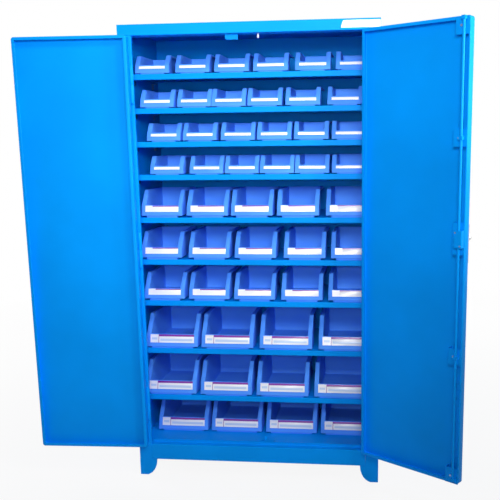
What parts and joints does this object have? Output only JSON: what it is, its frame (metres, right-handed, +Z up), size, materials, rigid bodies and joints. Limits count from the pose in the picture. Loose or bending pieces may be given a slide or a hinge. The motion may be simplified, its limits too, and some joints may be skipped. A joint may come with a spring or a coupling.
{
  "type": "parts bin cabinet",
  "caption": "Tall steel cabinet with hinged double doors and a rod lock, its shelves holding open-front plastic parts bins in graded sizes.",
  "frame": {"origin": "on the floor, at the centre of the rectangle of floor bolt holes in the feet", "axes": "+X to the cabinet's right seen from the front, +Y to its back, +Z up"},
  "size_m": [1.7199, 0.8087, 1.82],
  "materials": {
    "steel": "satin powder coat",
    "bin": "moulded satin",
    "zinc": "zinc plated",
    "chrome": "polished",
    "nylon": "moulded",
    "card": "printed card"
  },
  "bodies": {
    "cabinet": {"left_side": "steel", "right_side": "steel", "back_panel": "steel", "top_panel": "steel", "front_skirt": "steel", "floor_deck": "steel", "feet": "steel", "foot_bolts": "zinc", "shelves": "steel", "shelf_clips": "zinc", "post_knuckles": "steel", "hinge_pins": "zinc", "door_stop_tab": "steel", "door_buffer": "nylon", "floor_strike": "steel"},
    "left_door": {"left_door_pan": "steel", "left_door_knuckles": "steel"},
    "right_door": {"right_door_pan": "steel", "right_door_knuckles": "steel", "lock_base": "steel", "lock_cover": "steel", "lock_screws": "zinc", "rod_guides": "steel", "handle_rose": "chrome"},
    "handle": {"lever_handle": "chrome", "lock_cam": "zinc"},
    "key": {"key_barrel": "zinc"},
    "upper_lock_rod": {"upper_rod": "steel"},
    "lower_lock_rod": {"lower_rod": "steel"},
    "row_of_small_bins_row_1": {"small_bins_row_1": "bin"},
    "row_of_small_bins_row_2": {"small_bins_row_2": "bin"},
    "row_of_small_bins_row_3": {"small_bins_row_3": "bin"},
    "row_of_small_bins_row_4": {"small_bins_row_4": "bin"},
    "body_of_medium_bin_5_1": {"medium_bin_5_1": "bin"},
    "body_of_medium_bin_5_2": {"medium_bin_5_2": "bin"},
    "body_of_medium_bin_5_3": {"medium_bin_5_3": "bin"},
    "body_of_medium_bin_5_4": {"medium_bin_5_4": "bin"},
    "body_of_medium_bin_5_5": {"medium_bin_5_5": "bin"},
    "body_of_medium_bin_6_1": {"medium_bin_6_1": "bin"},
    "body_of_medium_bin_6_2": {"medium_bin_6_2": "bin"},
    "body_of_medium_bin_6_3": {"medium_bin_6_3": "bin"},
    "body_of_medium_bin_6_4": {"medium_bin_6_4": "bin"},
    "body_of_medium_bin_6_5": {"medium_bin_6_5": "bin"},
    "body_of_medium_bin_7_1": {"medium_bin_7_1": "bin"},
    "body_of_medium_bin_7_2": {"medium_bin_7_2": "bin"},
    "body_of_medium_bin_7_3": {"medium_bin_7_3": "bin"},
    "body_of_medium_bin_7_4": {"medium_bin_7_4": "bin"},
    "body_of_medium_bin_7_5": {"medium_bin_7_5": "bin"},
    "body_of_large_bin_8_1": {"large_bin_8_1": "bin"},
    "body_of_large_bin_8_2": {"large_bin_8_2": "bin"},
    "body_of_large_bin_8_3": {"large_bin_8_3": "bin"},
    "body_of_large_bin_8_4": {"large_bin_8_4": "bin"},
    "body_of_large_bin_9_1": {"large_bin_9_1": "bin"},
    "body_of_large_bin_9_2": {"large_bin_9_2": "bin"},
    "body_of_large_bin_9_3": {"large_bin_9_3": "bin"},
    "body_of_large_bin_9_4": {"large_bin_9_4": "bin"},
    "body_of_large_bin_10_1": {"large_bin_10_1": "bin"},
    "body_of_large_bin_10_2": {"large_bin_10_2": "bin"},
    "body_of_large_bin_10_3": {"large_bin_10_3": "bin"},
    "body_of_large_bin_10_4": {"large_bin_10_4": "bin"}
  },
  "joints": [
    {"name": "left_door_hinge", "type": "hinge", "parent": "cabinet", "child": "left_door", "pos_m": [-0.449, -0.2583, 0.958], "axis": [0, 0, -1], "range_deg": [-178, 2]},
    {"name": "right_door_hinge", "type": "hinge", "parent": "cabinet", "child": "right_door", "pos_m": [0.449, -0.2583, 0.958], "axis": [0, 0, 1], "range_deg": [-145, 35]},
    {"name": "handle_turn", "type": "hinge", "parent": "right_door", "child": "handle", "pos_m": [0.79607, -0.51145, 1.041], "axis": [-0.5736, -0.8192, 0], "range_deg": [0, 90]},
    {"name": "key_turn", "type": "hinge", "parent": "right_door", "child": "key", "pos_m": [0.79607, -0.51145, 0.983], "axis": [-0.5736, -0.8192, 0], "range_deg": [0, 90]},
    {"name": "upper_rod_slide", "type": "slide", "parent": "right_door", "child": "upper_lock_rod", "axis": [0, 0, 1], "range_m": [0, 0.0121]},
    {"name": "lower_rod_slide", "type": "slide", "parent": "right_door", "child": "lower_lock_rod", "axis": [0, 0, -1], "range_m": [0, 0.0121]},
    {"name": "small_bins_row_1_slide", "type": "slide", "parent": "cabinet", "child": "row_of_small_bins_row_1", "axis": [0, -1, 0], "range_m": [0, 0.085]},
    {"name": "small_bins_row_2_slide", "type": "slide", "parent": "cabinet", "child": "row_of_small_bins_row_2", "axis": [0, -1, 0], "range_m": [0, 0.085]},
    {"name": "small_bins_row_3_slide", "type": "slide", "parent": "cabinet", "child": "row_of_small_bins_row_3", "axis": [0, -1, 0], "range_m": [0, 0.085]},
    {"name": "small_bins_row_4_slide", "type": "slide", "parent": "cabinet", "child": "row_of_small_bins_row_4", "axis": [0, -1, 0], "range_m": [0, 0.085]},
    {"name": "medium_bin_5_1_slide", "type": "slide", "parent": "cabinet", "child": "body_of_medium_bin_5_1", "axis": [0, -1, 0], "range_m": [0, 0.085]},
    {"name": "medium_bin_5_2_slide", "type": "slide", "parent": "cabinet", "child": "body_of_medium_bin_5_2", "axis": [0, -1, 0], "range_m": [0, 0.12]},
    {"name": "medium_bin_5_3_slide", "type": "slide", "parent": "cabinet", "child": "body_of_medium_bin_5_3", "axis": [0, -1, 0], "range_m": [0, 0.12]},
    {"name": "medium_bin_5_4_slide", "type": "slide", "parent": "cabinet", "child": "body_of_medium_bin_5_4", "axis": [0, -1, 0], "range_m": [0, 0.12]},
    {"name": "medium_bin_5_5_slide", "type": "slide", "parent": "cabinet", "child": "body_of_medium_bin_5_5", "axis": [0, -1, 0], "range_m": [0, 0.085]},
    {"name": "medium_bin_6_1_slide", "type": "slide", "parent": "cabinet", "child": "body_of_medium_bin_6_1", "axis": [0, -1, 0], "range_m": [0, 0.085]},
    {"name": "medium_bin_6_2_slide", "type": "slide", "parent": "cabinet", "child": "body_of_medium_bin_6_2", "axis": [0, -1, 0], "range_m": [0, 0.12]},
    {"name": "medium_bin_6_3_slide", "type": "slide", "parent": "cabinet", "child": "body_of_medium_bin_6_3", "axis": [0, -1, 0], "range_m": [0, 0.12]},
    {"name": "medium_bin_6_4_slide", "type": "slide", "parent": "cabinet", "child": "body_of_medium_bin_6_4", "axis": [0, -1, 0], "range_m": [0, 0.12]},
    {"name": "medium_bin_6_5_slide", "type": "slide", "parent": "cabinet", "child": "body_of_medium_bin_6_5", "axis": [0, -1, 0], "range_m": [0, 0.085]},
    {"name": "medium_bin_7_1_slide", "type": "slide", "parent": "cabinet", "child": "body_of_medium_bin_7_1", "axis": [0, -1, 0], "range_m": [0, 0.085]},
    {"name": "medium_bin_7_2_slide", "type": "slide", "parent": "cabinet", "child": "body_of_medium_bin_7_2", "axis": [0, -1, 0], "range_m": [0, 0.12]},
    {"name": "medium_bin_7_3_slide", "type": "slide", "parent": "cabinet", "child": "body_of_medium_bin_7_3", "axis": [0, -1, 0], "range_m": [0, 0.12]},
    {"name": "medium_bin_7_4_slide", "type": "slide", "parent": "cabinet", "child": "body_of_medium_bin_7_4", "axis": [0, -1, 0], "range_m": [0, 0.12]},
    {"name": "medium_bin_7_5_slide", "type": "slide", "parent": "cabinet", "child": "body_of_medium_bin_7_5", "axis": [0, -1, 0], "range_m": [0, 0.085]},
    {"name": "large_bin_8_1_slide", "type": "slide", "parent": "cabinet", "child": "body_of_large_bin_8_1", "axis": [0, -1, 0], "range_m": [0, 0.085]},
    {"name": "large_bin_8_2_slide", "type": "slide", "parent": "cabinet", "child": "body_of_large_bin_8_2", "axis": [0, -1, 0], "range_m": [0, 0.155]},
    {"name": "large_bin_8_3_slide", "type": "slide", "parent": "cabinet", "child": "body_of_large_bin_8_3", "axis": [0, -1, 0], "range_m": [0, 0.155]},
    {"name": "large_bin_8_4_slide", "type": "slide", "parent": "cabinet", "child": "body_of_large_bin_8_4", "axis": [0, -1, 0], "range_m": [0, 0.085]},
    {"name": "large_bin_9_1_slide", "type": "slide", "parent": "cabinet", "child": "body_of_large_bin_9_1", "axis": [0, -1, 0], "range_m": [0, 0.085]},
    {"name": "large_bin_9_2_slide", "type": "slide", "parent": "cabinet", "child": "body_of_large_bin_9_2", "axis": [0, -1, 0], "range_m": [0, 0.155]},
    {"name": "large_bin_9_3_slide", "type": "slide", "parent": "cabinet", "child": "body_of_large_bin_9_3", "axis": [0, -1, 0], "range_m": [0, 0.155]},
    {"name": "large_bin_9_4_slide", "type": "slide", "parent": "cabinet", "child": "body_of_large_bin_9_4", "axis": [0, -1, 0], "range_m": [0, 0.085]},
    {"name": "large_bin_10_1_slide", "type": "slide", "parent": "cabinet", "child": "body_of_large_bin_10_1", "axis": [0, -1, 0], "range_m": [0, 0.11]},
    {"name": "large_bin_10_2_slide", "type": "slide", "parent": "cabinet", "child": "body_of_large_bin_10_2", "axis": [0, -1, 0], "range_m": [0, 0.11]},
    {"name": "large_bin_10_3_slide", "type": "slide", "parent": "cabinet", "child": "body_of_large_bin_10_3", "axis": [0, -1, 0], "range_m": [0, 0.085]},
    {"name": "large_bin_10_4_slide", "type": "slide", "parent": "cabinet", "child": "body_of_large_bin_10_4", "axis": [0, -1, 0], "range_m": [0, 0.11]}
  ],
  "couplings": [
    {"joint": "upper_rod_slide", "follows": "handle_turn", "m_per_rad": 0.007653},
    {"joint": "lower_rod_slide", "follows": "handle_turn", "m_per_rad": 0.007653}
  ]
}
